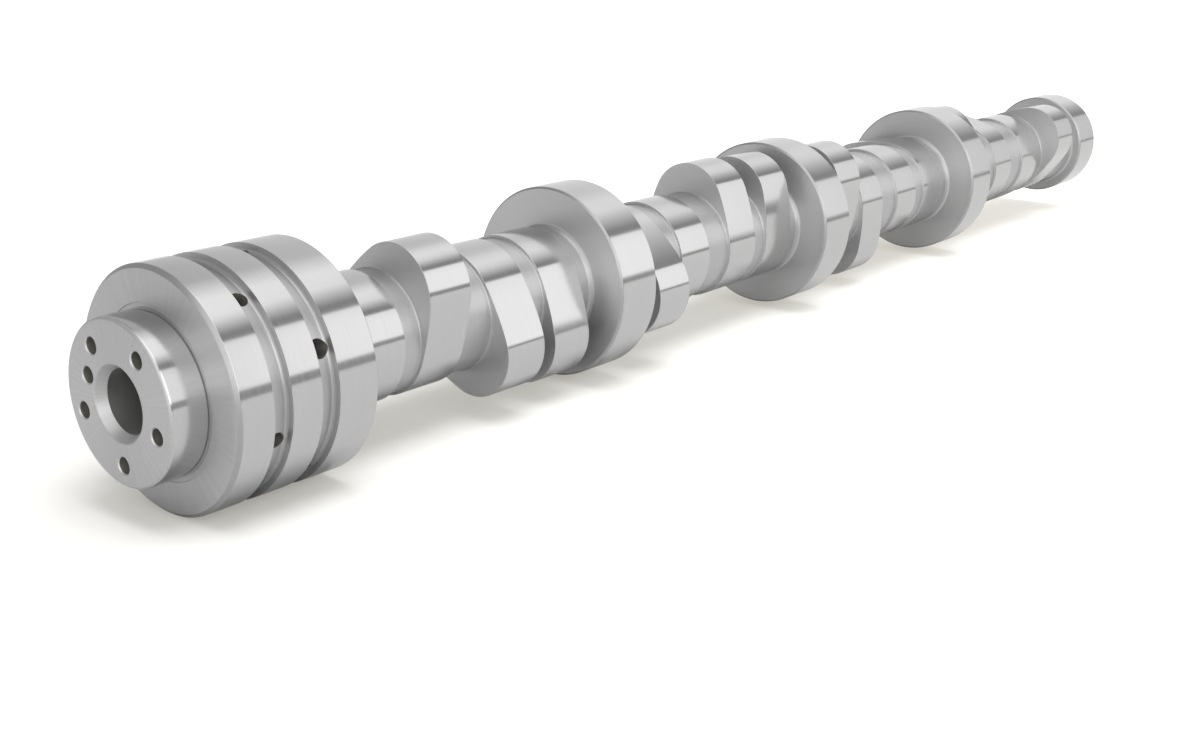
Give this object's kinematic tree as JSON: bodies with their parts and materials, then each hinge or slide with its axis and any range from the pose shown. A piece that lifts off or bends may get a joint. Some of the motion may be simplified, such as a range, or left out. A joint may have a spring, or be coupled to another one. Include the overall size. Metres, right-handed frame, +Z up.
{
  "type": "camshaft",
  "caption": "Ground steel camshaft for a V-type pushrod engine: lobes between stepped bearing journals, an oil-grooved front journal and a drilled nose for the timing drive.",
  "frame": {"origin": "on the shaft's axis at the face of the nose", "axes": "+X along the shaft to the rear, +Z up as the shaft lies, +Y across it"},
  "size_m": [0.5176, 0.0612, 0.0614],
  "materials": {
    "ground_steel": "ground and satin, with fine marks round the shaft"
  },
  "bodies": {
    "root": {"camshaft": "ground_steel"}
  },
  "joints": []
}
